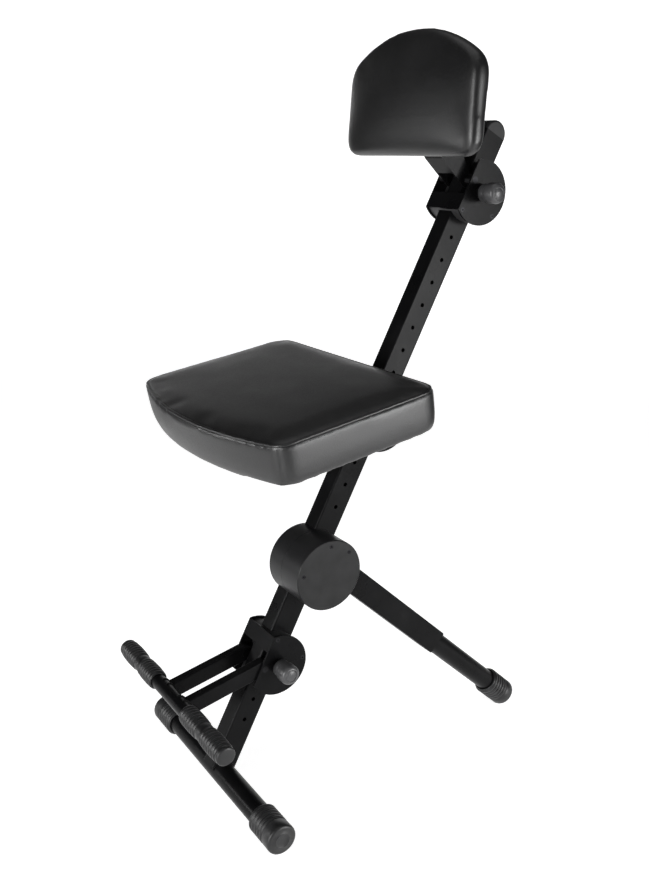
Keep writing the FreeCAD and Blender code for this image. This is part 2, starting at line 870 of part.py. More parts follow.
def make_seat_cushion():
    low = seat_rise
    top = seat_rise + seat_thickness - seat_crown
    levels = [
        (low, seat_draw),
        (low + 0.35 * seat_thickness, 0.2 * seat_draw),
        (top - seat_edge_round, 0),
        (top - 0.3 * seat_edge_round, 0.35 * seat_edge_round),
        (top, seat_edge_round),
        (top + 0.6 * seat_crown, 7 * seat_edge_round),
        (top + seat_crown, 16 * seat_edge_round),
    ]
    cushion = padded(seat_outline, levels)
    floor = Part.Face(seat_outline(board_margin - board_gap, low - 1))
    return cushion.cut(floor.extrude(V(0, 0, board_thickness + board_gap + 1)))


def make_seat_board():
    return Part.Face(seat_outline(board_margin, seat_rise)).extrude(V(0, 0, board_thickness))


def cradle_bolt_places():
    return hinge_places(1) + [(-hinge_forward, -hinge_offset - cradle_bolt_drop)]


def cradle_second_bolt():
    # the second bolt seen from the seat's own frame
    turn = math.radians(post_lean + seat_slope)
    return -cradle_bolt_drop * math.sin(turn), -cradle_bolt_drop * math.cos(turn)


cradle_inner = plate_inner - cradle_sheet


def make_cradle():
    x0 = cradle_inner
    x1 = cradle_inner + cradle_sheet
    top = seat_rise - cradle_sheet
    y2, z2 = cradle_second_bolt()
    lobe = hinge_diameter * 1.1
    front = -cradle_length
    web = sheet([
        (front, top), (cradle_rear, top), (lobe, 0), (y2 + lobe * 0.5, z2 - lobe * 0.85),
        (y2 - lobe, z2), (front, top - cradle_flange_front),
    ], x0, x1)
    flange = web.fuse([rod(2 * lobe, x0, x1), rod(2 * lobe, x0, x1, y2, z2)]).removeSplitter()
    for y, z in ((0, 0), (y2, z2)):
        flange = flange.cut(rod(hinge_diameter, x0 - 1, x1 + 1, y, z))
    plate = box(-cradle_plate_half, cradle_plate_half, front, cradle_rear, top, seat_rise)
    plate = round_edges(plate, cradle_flange_front / 2, along_z)
    cradle = plate.fuse([flange, mirrored(flange)]).removeSplitter()
    for x, y in seat_screw_places():
        drill = Part.makeCylinder(seat_screw_diameter / 2, cradle_sheet + 2, V(x, y, top - 1))
        cradle = cradle.cut(drill)
    return cradle


def seat_screw_places():
    return [(side * seat_screw_half, y) for side in (-1, 1) for y in seat_screw_rows]


def make_seat_screws():
    screws = []
    under = seat_rise - cradle_sheet
    for x, y in seat_screw_places():
        low = V(x, y, under - seat_screw_head_height)
        head = Part.makeCylinder(seat_screw_head / 2, seat_screw_head_height, low)
        shank = Part.makeCylinder(seat_screw_diameter / 2, seat_screw_length, V(x, y, under))
        screws.append(head.fuse(shank))
    return Part.makeCompound(screws)


def drill_seat_board(board):
    for x, y in seat_screw_places():
        depth = seat_screw_length - cradle_sheet
        board = board.cut(Part.makeCylinder(seat_screw_diameter / 2, depth + 1, V(x, y, seat_rise - 1)))
    return board


seat_place = hinge_place(seat_along, 1, seat_slope)
add_slide("seat", seat_along, 1, cradle_bolt_places())
cradle_bolts = make_pivot_pins(cradle_bolt_places(), cradle_inner)
nodes["seat_cradle_bolts"] = moved(cradle_bolts, slide_place(seat_along))
nodes["seat_cradle"] = moved(make_cradle(), seat_place)
nodes["seat_board"] = moved(drill_seat_board(make_seat_board()), seat_place)
nodes["seat_cushion"] = moved(make_seat_cushion(), seat_place)
nodes["seat_screws"] = moved(make_seat_screws(), seat_place)


# Backrest, in its hinge frame: X across, Y back, Z up along the cushion's face
def back_outline(margin, depth):
    low = back_low + margin
    side = back_side_height + back_low - margin
    corners = [
        V(-back_low_half + margin, low, 0),
        V(back_low_half - margin, low, 0),
        V(back_top_half - margin, side, 0),
        V(-back_top_half + margin, side, 0),
    ]
    shrink = 1 - margin / back_low_half
    radii = [back_low_radius * shrink, back_low_radius * shrink]
    radii += [back_top_radius * shrink, back_top_radius * shrink]
    bow = back_crest - back_side_height
    return rounded_outline(corners, radii, [0, 0, bow * shrink, 0], V(0, 0, depth))


upright = FreeCAD.Placement(V(0, -back_gap, 0), FreeCAD.Rotation(X_AXIS, 90))


def make_back_cushion():
    front = back_thickness - back_crown
    levels = [
        (0, back_draw),
        (0.35 * back_thickness, 0.1 * back_draw),
        (front - back_edge_round, 0),
        (front - 0.3 * back_edge_round, 0.35 * back_edge_round),
        (front, back_edge_round),
        (front + 0.6 * back_crown, 4 * back_edge_round),
        (front + back_crown, 8 * back_edge_round),
    ]
    cushion = padded(back_outline, levels)
    pocket = Part.Face(back_outline(back_board_margin - board_gap, -1)).extrude(
        V(0, 0, back_board_thickness + board_gap + 1)
    )
    return moved(cushion.cut(pocket), upright)


def back_screw_places():
    return [(side * back_screw_half, z) for side in (-1, 1) for z in back_screw_rows]


def make_back_board():
    board = Part.Face(back_outline(back_board_margin, 0)).extrude(V(0, 0, back_board_thickness))
    depth = back_screw_length - support_sheet
    for x, z in back_screw_places():
        board = board.cut(Part.makeCylinder(seat_screw_diameter / 2, depth + 1, V(x, z, -1)))
    return moved(board, upright)


def sheet_side(a, b):
    # the sheet's thickness, square to a run of the support and towards its inside
    run = (b - a).normalize()
    return V(0, run.z, -run.y) * support_sheet


def make_support():
    x0 = support_inner
    x1 = support_inner + support_sheet
    face = -back_gap + support_sheet
    radius = support_end_radius
    knee = V(0, -support_knee_forward, support_knee_up)
    # the front edge leaves the round end as a tangent through the knee
    length = knee.Length
    spread = math.acos(radius / length)
    aim = math.atan2(support_knee_up, -support_knee_forward)
    tangent_y = radius * math.cos(aim + spread)
    tangent_z = radius * math.sin(aim + spread)
    flange = sheet([
        (tangent_y, tangent_z), (knee.y, knee.z), (face, support_low), (face, support_high),
        (radius * math.cos(aim - spread), radius * math.sin(aim - spread)), (0, 0),
    ], x0, x1)
    flange = flange.fuse(rod(2 * radius, x0, x1)).removeSplitter()
    flange = flange.cut(rod(hinge_diameter + 2 * running_clearance, x0 - 1, x1 + 1))
    start = V(0, tangent_y, tangent_z) + (knee - V(0, tangent_y, tangent_z)) * support_web_start
    end = V(0, face, support_low)
    low_in = sheet_side(start, knee)
    high_in = sheet_side(knee, end)
    mitre = (low_in + high_in) * (2 * support_sheet ** 2 / (low_in + high_in).Length ** 2)
    corners = (start, knee, end, end + V(0, 0, support_sheet), knee + mitre, start + low_in)
    web = sheet([(p.y, p.z) for p in corners], -x1, x1)
    plate = box(
        -support_plate_half, support_plate_half, -back_gap, -back_gap + support_sheet,
        support_plate_low, support_plate_high,
    )
    support = plate.fuse([flange, mirrored(flange), web]).removeSplitter()
    for x, z in back_screw_places():
        support = support.cut(Part.makeCylinder(
            seat_screw_diameter / 2, support_sheet + 2, V(x, -back_gap - 1, z), V(0, 1, 0)
        ))
    return support


def make_spacers(bolt_places):
    # tubes on the hinge pins that keep the support in the middle of its bracket
    spacers = []
    start = support_inner + support_sheet + hinge_side_gap
    for y, z in bolt_places:
        spacer = rod(spacer_diameter, start, plate_inner, y, z)
        spacer = spacer.cut(rod(hinge_diameter, start - 1, plate_inner + 1, y, z))
        spacers += [spacer, mirrored(spacer)]
    return Part.makeCompound(spacers)


def make_back_screws():
    screws = []
    outer = -back_gap + support_sheet
    for x, z in back_screw_places():
        head = Part.makeCylinder(seat_screw_head / 2, seat_screw_head_height, V(x, outer, z), V(0, 1, 0))
        shank = Part.makeCylinder(
            seat_screw_diameter / 2, back_screw_length, V(x, outer - back_screw_length, z), V(0, 1, 0)
        )
        screws.append(head.fuse(shank))
    return Part.makeCompound(screws)


# the backrest's frame stands almost upright, leaning back by its own tilt
back_place = hinge_place(back_along, -1, -back_tilt)
add_slide("backrest", back_along, -1, hinge_places(-1))
back_pins = make_pivot_pins(hinge_places(-1), support_inner)
nodes["backrest_hinge_pins"] = moved(back_pins, slide_place(back_along))
nodes["backrest_spacers"] = moved(make_spacers(hinge_places(-1)), slide_place(back_along))
nodes["backrest_support"] = moved(make_support(), back_place)
nodes["backrest_board"] = moved(make_back_board(), back_place)
nodes["backrest_cushion"] = moved(make_back_cushion(), back_place)
nodes["backrest_screws"] = moved(make_back_screws(), back_place)

# The origin is on the floor under the middle of the chair's box
whole = Part.makeCompound(list(nodes.values())).BoundBox
to_origin = FreeCAD.Placement(V(0, -(whole.YMin + whole.YMax) / 2, 0), FreeCAD.Rotation())
os.makedirs("parts", exist_ok=True)
for node_name, solid in nodes.items():
    moved(solid, to_origin).exportStep("parts/" + node_name + ".step")


def tell(label, place):
    point = to_origin.multiply(place).Base
    print(label, round(point.x, 3), round(point.y, 3), round(point.z, 3))


print("nodes", len(nodes), "leg angle", round(leg_angle, 3))
tell("hub axis", post_place.multiply(hub_place))
tell("footrest hinge", foot_place)
tell("seat hinge", seat_place)
tell("backrest hinge", back_place)
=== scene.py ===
import json
import math

import bmesh
import bpy
from mathutils import Matrix, Vector
from mathutils.bvhtree import BVHTree


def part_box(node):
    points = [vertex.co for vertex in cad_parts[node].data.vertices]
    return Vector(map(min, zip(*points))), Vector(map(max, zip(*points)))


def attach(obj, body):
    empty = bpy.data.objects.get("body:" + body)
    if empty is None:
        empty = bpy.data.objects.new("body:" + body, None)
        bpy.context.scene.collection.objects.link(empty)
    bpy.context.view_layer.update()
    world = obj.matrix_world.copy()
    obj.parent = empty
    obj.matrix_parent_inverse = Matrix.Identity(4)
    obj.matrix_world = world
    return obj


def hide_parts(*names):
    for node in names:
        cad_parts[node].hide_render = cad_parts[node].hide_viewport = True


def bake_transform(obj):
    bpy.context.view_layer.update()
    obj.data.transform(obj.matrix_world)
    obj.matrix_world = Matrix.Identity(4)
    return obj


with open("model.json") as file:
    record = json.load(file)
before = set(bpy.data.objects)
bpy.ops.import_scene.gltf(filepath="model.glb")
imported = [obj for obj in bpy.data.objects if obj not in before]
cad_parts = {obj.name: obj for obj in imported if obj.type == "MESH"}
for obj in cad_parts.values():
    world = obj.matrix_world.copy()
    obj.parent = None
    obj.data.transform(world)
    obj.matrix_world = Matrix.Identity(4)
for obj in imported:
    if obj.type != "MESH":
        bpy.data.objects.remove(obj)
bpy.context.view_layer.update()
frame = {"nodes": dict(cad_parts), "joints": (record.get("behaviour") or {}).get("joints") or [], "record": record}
cadNodes = frame["nodes"]
scene = bpy.context.scene
print("frame loaded:", len(cadNodes), "nodes")


# material building blocks

def newMaterial(name):
    material = bpy.data.materials.new(name)
    material.use_nodes = True
    tree = material.node_tree
    shader = tree.nodes["Principled BSDF"]
    coords = tree.nodes.new("ShaderNodeTexCoord")
    return material, tree, shader, coords.outputs["Object"]


def noise(tree, coords, scale, detail=3.0, roughness=0.5):
    node = tree.nodes.new("ShaderNodeTexNoise")
    node.inputs["Scale"].default_value = scale
    node.inputs["Detail"].default_value = detail
    node.inputs["Roughness"].default_value = roughness
    tree.links.new(coords, node.inputs["Vector"])
    return node.outputs["Fac"]


def stretched(tree, coords, scale):
    node = tree.nodes.new("ShaderNodeMapping")
    node.inputs["Scale"].default_value = scale
    tree.links.new(coords, node.inputs["Vector"])
    return node.outputs["Vector"]


def cells(tree, coords, scale, feature="F1"):
    node = tree.nodes.new("ShaderNodeTexVoronoi")
    node.feature = feature
    node.inputs["Scale"].default_value = scale
    tree.links.new(coords, node.inputs["Vector"])
    return node.outputs["Distance"]


def remap(tree, value, fromLow, fromHigh, low, high):
    node = tree.nodes.new("ShaderNodeMapRange")
    node.inputs["From Min"].default_value = fromLow
    node.inputs["From Max"].default_value = fromHigh
    node.inputs["To Min"].default_value = low
    node.inputs["To Max"].default_value = high
    tree.links.new(value, node.inputs["Value"])
    return node.outputs["Result"]


def tint(tree, value, stops):
    node = tree.nodes.new("ShaderNodeValToRGB")
    ramp = node.color_ramp
    while len(ramp.elements) < len(stops):
        ramp.elements.new(0.5)
    for element, (place, colour) in zip(ramp.elements, stops):
        element.position = place
        element.color = (*colour, 1.0)
    tree.links.new(value, node.inputs["Fac"])
    return node.outputs["Color"]


def add(tree, first, second, operation="ADD"):
    node = tree.nodes.new("ShaderNodeMath")
    node.operation = operation
    tree.links.new(first, node.inputs[0])
    if isinstance(second, float):
        node.inputs[1].default_value = second
    else:
        tree.links.new(second, node.inputs[1])
    return node.outputs["Value"]


def bump(tree, shader, height, strength, distance):
    node = tree.nodes.new("ShaderNodeBump")
    node.inputs["Strength"].default_value = strength
    node.inputs["Distance"].default_value = distance
    tree.links.new(height, node.inputs["Height"])
    tree.links.new(node.outputs["Normal"], shader.inputs["Normal"])


# satin powder coat: fine orange peel, faint cloudiness, a few duller rubbed patches
powderCoat = {
    "dark": (0.0024, 0.0024, 0.0026),
    "light": (0.0042, 0.0042, 0.0045),
    "rubbed": (0.0075, 0.0075, 0.008),
    "peelScale": 950.0,
    "peelStrength": 0.10,
    "peelDepth": 0.0004,
    "cloudScale": 14.0,
    "rough": (0.25, 0.35),
    "specular": 0.06,
    "coat": 0.02,
    "coatRough": 0.22,
}


def makePowderCoat(name, look):
    material, tree, shader, coords = newMaterial(name)
    cloud = noise(tree, coords, look["cloudScale"], 5.0, 0.6)
    colour = tint(tree, cloud, [(0.3, look["dark"]), (0.62, look["light"]), (0.8, look["rubbed"])])
    tree.links.new(colour, shader.inputs["Base Color"])
    rough = remap(tree, cloud, 0.3, 0.75, *look["rough"])
    tree.links.new(rough, shader.inputs["Roughness"])
    peel = noise(tree, coords, look["peelScale"], 2.0)
    bump(tree, shader, peel, look["peelStrength"], look["peelDepth"])
    shader.inputs["Specular IOR Level"].default_value = look["specular"]
    shader.inputs["Coat Weight"].default_value = look["coat"]
    shader.inputs["Coat Roughness"].default_value = look["coatRough"]
    return material


# cast halves of the hub: the same coat over a slightly sandy skin
castCoat = dict(
    powderCoat, peelScale=520.0, rough=(0.36, 0.48), specular=0.18, coat=0.03,
    dark=(0.0065, 0.0065, 0.007), light=(0.012, 0.012, 0.0128), rubbed=(0.018, 0.018, 0.019),
)


# ribbed rubber of the foot caps and grips
rubberSkin = {
    "dark": (0.0045, 0.0045, 0.0047),
    "light": (0.0085, 0.0085, 0.009),
    "dusty": (0.016, 0.016, 0.017),
    "grainScale": 1500.0,
    "grainStrength": 0.18,
    "grainDepth": 0.0003,
    "cloudScale": 40.0,
    "specular": 0.36,
    "rough": (0.36, 0.5),
}


def makeRubber(look):
    material, tree, shader, coords = newMaterial("ribbedRubber")
    cloud = noise(tree, coords, look["cloudScale"], 4.0, 0.65)
    colour = tint(tree, cloud, [(0.3, look["dark"]), (0.6, look["light"]), (0.85, look["dusty"])])
    tree.links.new(colour, shader.inputs["Base Color"])
    tree.links.new(remap(tree, cloud, 0.3, 0.7, *look["rough"]), shader.inputs["Roughness"])
    grain = noise(tree, coords, look["grainScale"], 2.0)
    bump(tree, shader, grain, look["grainStrength"], look["grainDepth"])
    shader.inputs["Specular IOR Level"].default_value = look["specular"]
    return material


# moulded plastics: the knobs are lighter than the cover and the cap, the guides duller
mouldedPlastic = {
    "knobPlastic": {
        "dark": (0.026, 0.026, 0.027),
        "light": (0.046, 0.046, 0.048),
        "rough": (0.34, 0.46),
        "specular": 0.5,
    },
    "coverPlastic": {
        "dark": (0.006, 0.006, 0.0063),
        "light": (0.010, 0.010, 0.0105),
        "rough": (0.34, 0.46),
        "specular": 0.2,
    },
    "guideNylon": {
        "dark": (0.012, 0.012, 0.0125),
        "light": (0.02, 0.02, 0.021),
        "rough": (0.42, 0.55),
        "specular": 0.5,
    },
}
plasticSkin = {"cloudScale": 55.0, "speckleScale": 900.0, "speckleStrength": 0.08, "speckleDepth": 0.0003}


def makePlastic(name, look):
    material, tree, shader, coords = newMaterial(name)
    cloud = noise(tree, coords, plasticSkin["cloudScale"], 4.0)
    speckle = cells(tree, coords, plasticSkin["speckleScale"])
    colour = tint(tree, cloud, [(0.32, look["dark"]), (0.7, look["light"])])
    tree.links.new(colour, shader.inputs["Base Color"])
    tree.links.new(remap(tree, cloud, 0.3, 0.7, *look["rough"]), shader.inputs["Roughness"])
    bump(tree, shader, speckle, plasticSkin["speckleStrength"], plasticSkin["speckleDepth"])
    shader.inputs["Specular IOR Level"].default_value = look["specular"]
    return material


# black vinyl: pebbled grain with a soft sheen, slightly duller along the edges of its cells
vinylSkin = {
    "dark": (0.0036, 0.0036, 0.0038),
    "light": (0.0072, 0.0072, 0.0076),
    "grainScale": 620.0,
    "fineScale": 1900.0,
    "cloudScale": 9.0,
    "fineShare": 0.35,
    "grainStrength": 0.16,
    "grainDepth": 0.0005,
    "rough": (0.33, 0.44),
    "cellRough": (-0.03, 0.05),
    "sheen": 0.02,
    "sheenRough": 0.45,
}


def makeVinyl(look):
    material, tree, shader, coords = newMaterial("blackVinyl")
    cloud = noise(tree, coords, look["cloudScale"], 4.0, 0.55)
    pebble = cells(tree, coords, look["grainScale"], "SMOOTH_F1")
    fine = noise(tree, coords, look["fineScale"], 3.0)
    grain = add(tree, pebble, add(tree, fine, look["fineShare"], "MULTIPLY"))
    colour = tint(tree, cloud, [(0.28, look["dark"]), (0.75, look["light"])])
    tree.links.new(colour, shader.inputs["Base Color"])
    worn = remap(tree, cloud, 0.3, 0.7, *look["rough"])
    rough = add(tree, worn, remap(tree, pebble, 0.0, 0.8, *look["cellRough"]))
    tree.links.new(rough, shader.inputs["Roughness"])
    bump(tree, shader, grain, look["grainStrength"], look["grainDepth"])
    shader.inputs["Sheen Weight"].default_value = look["sheen"]
    shader.inputs["Sheen Roughness"].default_value = look["sheenRough"]
    return material


# black-stained plywood of the seat and back boards
stainedBoard = {
    "dark": (0.012, 0.0105, 0.0095),
    "light": (0.03, 0.025, 0.021),
    "grain": (18.0, 420.0, 420.0),
    "rough": (0.62, 0.8),
    "grainStrength": 0.25,
    "grainDepth": 0.0005,
}


def makeBoard(look):
    material, tree, shader, coords = newMaterial("stainedPlywood")
    grain = noise(tree, stretched(tree, coords, look["grain"]), 1.0, 6.0, 0.6)
    colour = tint(tree, grain, [(0.3, look["dark"]), (0.7, look["light"])])
    tree.links.new(colour, shader.inputs["Base Color"])
    tree.links.new(remap(tree, grain, 0.3, 0.7, *look["rough"]), shader.inputs["Roughness"])
    bump(tree, shader, grain, look["grainStrength"], look["grainDepth"])
    return material


# steels: black oxide on screws, hinge pins and barrels, bright zinc on pull pins, springs and the hub bolt
steelFinish = {
    "darkSteel": {"dark": (0.012, 0.012, 0.0126), "light": (0.028, 0.028, 0.03), "rough": (0.34, 0.48)},
    "zincSteel": {"dark": (0.42, 0.42, 0.44), "light": (0.62, 0.62, 0.65), "rough": (0.22, 0.36)},
}
brushMarks = {"scale": (90.0, 1400.0, 1400.0), "strength": 0.05, "depth": 0.0002}


def makeSteel(name, look):
    material, tree, shader, coords = newMaterial(name)
    brushed = noise(tree, stretched(tree, coords, brushMarks["scale"]), 1.0, 4.0)
    colour = tint(tree, brushed, [(0.3, look["dark"]), (0.7, look["light"])])
    tree.links.new(colour, shader.inputs["Base Color"])
    tree.links.new(remap(tree, brushed, 0.3, 0.7, *look["rough"]), shader.inputs["Roughness"])
    bump(tree, shader, brushed, brushMarks["strength"], brushMarks["depth"])
    shader.inputs["Metallic"].default_value = 1.0
    return material


# thread of the stitches, slightly fuzzy
threadLook = {
    "dark": (0.012, 0.012, 0.0125),
    "light": (0.035, 0.035, 0.036),
    "rough": (0.55, 0.75),
    "twistScale": 2400.0,
    "twistStrength": 0.3,
    "twistDepth": 0.0003,
}


def makeThread(look):
    material, tree, shader, coords = newMaterial("blackThread")
    twist = noise(tree, coords, look["twistScale"], 2.0)
    colour = tint(tree, twist, [(0.3, look["dark"]), (0.7, look["light"])])
    tree.links.new(colour, shader.inputs["Base Color"])
    tree.links.new(remap(tree, twist, 0.3, 0.7, *look["rough"]), shader.inputs["Roughness"])
    bump(tree, shader, twist, look["twistStrength"], look["twistDepth"])
    return material


materials = {
    "frame_paint": makePowderCoat("powderCoat", powderCoat),
    "hub_paint": makePowderCoat("castCoat", castCoat),
    "rubber": makeRubber(rubberSkin),
    "knob_plastic": makePlastic("knobPlastic", mouldedPlastic["knobPlastic"]),
    "cover_plastic": makePlastic("coverPlastic", mouldedPlastic["coverPlastic"]),
    "guide_nylon": makePlastic("guideNylon", mouldedPlastic["guideNylon"]),
    "vinyl": makeVinyl(vinylSkin),
    "board_wood": makeBoard(stainedBoard),
    "dark_steel": makeSteel("darkSteel", steelFinish["darkSteel"]),
    "pin_steel": makeSteel("zincSteel", steelFinish["zincSteel"]),
}
thread = makeThread(threadLook)
for part in frame["record"]["subparts"]:
    node = cadNodes[part["node"]]
    node.data.materials.clear()
    node.data.materials.append(materials[part["material_slot"]])
print("materials assigned:", len(materials))


# mesh helpers

def addPiece(name, mesh, material, body):
    piece = bpy.data.objects.new(name, mesh)
    scene.collection.objects.link(piece)
    mesh.materials.clear()
    mesh.materials.append(material)
    if body:
        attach(piece, body)
    return piece


def meshFrom(name, bm):
    mesh = bpy.data.meshes.new(name)
    bm.to_mesh(mesh)
    bm.free()
    mesh.shade_smooth()
    return mesh


def onlyThis(piece):
    bpy.ops.object.select_all(action="DESELECT")
    piece.select_set(True)
    bpy.context.view_layer.objects.active = piece


# padded pieces: a copy of the soft solid is remeshed, stuffed by cloth pressure and held at its seams
seatPad = {
    "node": "seat_cushion",
    "body": "seat_slider",
    "out": Vector((0.0, -math.sin(math.radians(11.6)), math.cos(math.radians(11.6)))),
    "rim": 0.005,
    "rimRounds": 4,
    "voxel": 0.0042,
    "pressure": 1.2,
    "maxMove": 0.0020,
    "panelDepth": 0.0085,
    "panelRounds": 10,
    "dome": 0.0015,
    "heldDepth": 0.010,
    "heldSeam": 0.0025,
    "weltDepth": 0.0052,
    "stitchDepth": 0.0112,
    "weltRadius": 0.0022,
    "weltStep": 0.004,
    "weltSunk": 0.0006,
    "cornerAim": (0.72, 0.69),
    "creaseStep": 0.002,
    "creaseReach": 0.0045,
    "creaseDepth": 0.0016,
    "fill": 0.85,
}
backPad = {
    "node": "backrest_cushion",
    "body": "backrest_support",
    "out": Vector((0.0, -math.cos(math.radians(1.4)), -math.sin(math.radians(1.4)))),
    "rim": 0.004,
    "rimRounds": 4,
    "voxel": 0.0038,
    "pressure": 1.8,
    "maxMove": 0.0035,
    "heldDepth": 0.004,
    "panelDepth": 0.030,
    "panelRounds": 14,
    "dome": 0.0070,
    "fill": 0.8,
}


def solidCopy(node):
    bm = bmesh.new()
    bm.from_mesh(cadNodes[node].data)
    bmesh.ops.remove_doubles(bm, verts=bm.verts, dist=1e-5)
    bmesh.ops.recalc_face_normals(bm, faces=bm.faces)
    return bm


# the vinyl wraps round the rim underneath, so that edge is rounded before the remesh
sharpRim = {"level": 1e-4, "turn": 0.8, "segments": 3}


def roundRim(bm, pad):
    low = min(v.co.dot(pad["out"]) for v in bm.verts)
    rim = []
    for e in bm.edges:
        level = max(v.co.dot(pad["out"]) for v in e.verts)
        if level < low + sharpRim["level"] and e.is_convex and e.calc_face_angle(0.0) > sharpRim["turn"]:
            rim.append(e)
    bmesh.ops.bevel(
        bm, geom=rim, offset=pad["rim"], affect="EDGES", segments=sharpRim["segments"], profile=0.5,
        material=-1, clamp_overlap=False,
    )
    return bm


def remesh(piece, voxel):
    step = piece.modifiers.new("remesh", "REMESH")
    step.mode = "VOXEL"
    step.voxel_size = voxel
    onlyThis(piece)
    bpy.ops.object.modifier_apply(modifier=step.name)


def evenOut(piece, factor, rounds, inPart=None):
    bm = bmesh.new()
    bm.from_mesh(piece.data)
    verts = [v for v in bm.verts if inPart is None or inPart(v.co)]
    for _ in range(rounds):
        bmesh.ops.smooth_vert(
            bm, verts=verts, factor=factor, use_axis_x=True, use_axis_y=True, use_axis_z=True,
        )
    bm.to_mesh(piece.data)
    bm.free()


# how the vinyl behaves while it is stuffed
coverCloth = {"quality": 5, "mass": 0.25, "stretch": 40.0, "bend": 12.0, "frames": 20}


def stuff(piece, pad, held):
    group = piece.vertex_groups.new(name="held")
    group.add(held, 1.0, "REPLACE")
    start = [v.co.copy() for v in piece.data.vertices]
    cloth = piece.modifiers.new("stuffing", "CLOTH")
    cloth.settings.quality = coverCloth["quality"]
    cloth.settings.mass = coverCloth["mass"]
    cloth.settings.tension_stiffness = coverCloth["stretch"]
    cloth.settings.compression_stiffness = coverCloth["stretch"]
    cloth.settings.bending_stiffness = coverCloth["bend"]
    cloth.settings.use_pressure = True
    cloth.settings.uniform_pressure_force = pad["pressure"]
    cloth.settings.vertex_group_mass = group.name
    cloth.settings.effector_weights.gravity = 0.0
    cloth.point_cache.frame_start = 1
    cloth.point_cache.frame_end = coverCloth["frames"]
    for step in range(1, coverCloth["frames"] + 1):
        scene.frame_set(step)
    settled = piece.evaluated_get(bpy.context.evaluated_depsgraph_get()).to_mesh()
    moves = [v.co - rest for v, rest in zip(settled.vertices, start)]
    piece.modifiers.remove(cloth)
    scene.frame_set(1)
    for v, rest, move in zip(piece.data.vertices, start, moves):
        if move.length > pad["maxMove"]:
            move = move.normalized() * pad["maxMove"]
        v.co = rest + move
    piece.vertex_groups.remove(group)


# foam swells the middle of the panel most
def swell(piece, pad):
    across = Vector((1.0, 0.0, 0.0))
    along = pad["out"].cross(across)
    widths = [v.co.dot(across) for v in piece.data.vertices]
    runs = [v.co.dot(along) for v in piece.data.vertices]
    halfWidth = (max(widths) - min(widths)) / 2
    halfRun = (max(runs) - min(runs)) / 2
    middle = across * (min(widths) + halfWidth) + along * (min(runs) + halfRun)
    for v in piece.data.vertices:
        u = (v.co - middle).dot(across) / halfWidth
        w = (v.co - middle).dot(along) / halfRun
        facing = max(0.0, v.normal.dot(pad["out"]))
        v.co += pad["out"] * pad["dome"] * (1.0 - u * u) * (1.0 - w * w) * facing


# strength and rounds of the smoothing before and after the stuffing, then its strength on panel and rim
padSmoothing = {"before": (0.5, 2), "after": (0.4, 3), "parts": 0.5}


def makePad(name, pad, heldTest):
    solid = roundRim(solidCopy(pad["node"]), pad)
    piece = addPiece(name, meshFrom(name, solid), materials["vinyl"], pad["body"])
    remesh(piece, pad["voxel"])
    evenOut(piece, *padSmoothing["before"])
    heights = [v.co.dot(pad["out"]) for v in piece.data.vertices]
    low, high = min(heights), max(heights)
    held = [v.index for v, h in zip(piece.data.vertices, heights) if heldTest(h - low, high - h)]
    stuff(piece, pad, held)
    evenOut(piece, *padSmoothing["after"])
    parts = padSmoothing["parts"]
    evenOut(piece, parts, pad["panelRounds"], lambda co: high - co.dot(pad["out"]) < pad["panelDepth"])
    evenOut(piece, parts, pad["rimRounds"], lambda co: co.dot(pad["out"]) - low < pad["rim"] * 2)
    swell(piece, pad)
    piece.data.shade_smooth()
    smooth = piece.modifiers.new("smooth", "SUBSURF")
    smooth.levels = 1
    smooth.render_levels = 1
    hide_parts(pad["node"])
    print("padded:", name, len(piece.data.vertices), "points")
    return piece


def seatHeld(aboveBottom, belowTop):
    atSeam = abs(belowTop - seatPad["stitchDepth"]) < seatPad["heldSeam"]
    return atSeam or aboveBottom < seatPad["heldDepth"]


def backHeld(aboveBottom, belowTop):
    return aboveBottom < backPad["heldDepth"]


# the loop where a level plane cuts a solid, walked round into even steps
def seamLoop(node, out, depth, step):
    bm = solidCopy(node)
    top = max(v.co.dot(out) for v in bm.verts)
    bmesh.ops.bisect_plane(
        bm, geom=bm.verts[:] + bm.edges[:] + bm.faces[:], plane_co=out * (top - depth), plane_no=out,
        clear_inner=True, clear_outer=True,
    )
    bmesh.ops.remove_doubles(bm, verts=bm.verts, dist=1e-5)
    middle = sum((v.co for v in bm.verts), Vector()) / len(bm.verts)
    here = max(bm.verts, key=lambda v: (v.co - middle).length)
    before = None
    walk = [here.co.copy()]
    while True:
        nextVerts = [e.other_vert(here) for e in here.link_edges]
        ahead = [v for v in nextVerts if v is not before][0]
        before, here = here, ahead
        if (here.co - walk[0]).length < 1e-6:
            break
        walk.append(here.co.copy())
    bm.free()
    return evenSteps(walk, step)


def evenSteps(walk, step):
    closed = walk + walk[:1]
    total = sum((b - a).length for a, b in zip(closed, closed[1:]))
    count = round(total / step)
    spacing = total / count
    points = []
    carried = 0.0
    for a, b in zip(closed, closed[1:]):
        run = (b - a).length
        while carried < run and len(points) < count:
            points.append(a.lerp(b, carried / run))
            carried += spacing
        carried -= run
    return points


def surfaceOf(piece):
    return BVHTree.FromObject(piece, bpy.context.evaluated_depsgraph_get())


def laidOn(points, surface, lift):
    laid = []
    for point in points:
        near, normal, _, _ = surface.find_nearest(point)
        laid.append((near + normal * lift, normal))
    return laid


def tubeMesh(name, points, radius):
    curve = bpy.data.curves.new(name, "CURVE")
    curve.dimensions = "3D"
    curve.bevel_depth = radius
    curve.bevel_resolution = 3
    spline = curve.splines.new("POLY")
    spline.points.add(len(points) - 1)
    for slot, point in zip(spline.points, points):
        slot.co = (*point, 1.0)
    spline.use_cyclic_u = True
    holder = bpy.data.objects.new(name, curve)
    scene.collection.objects.link(holder)
    mesh = bpy.data.meshes.new_from_object(holder.evaluated_get(bpy.context.evaluated_depsgraph_get()))
    bpy.data.objects.remove(holder)
    mesh.shade_smooth()
    return mesh


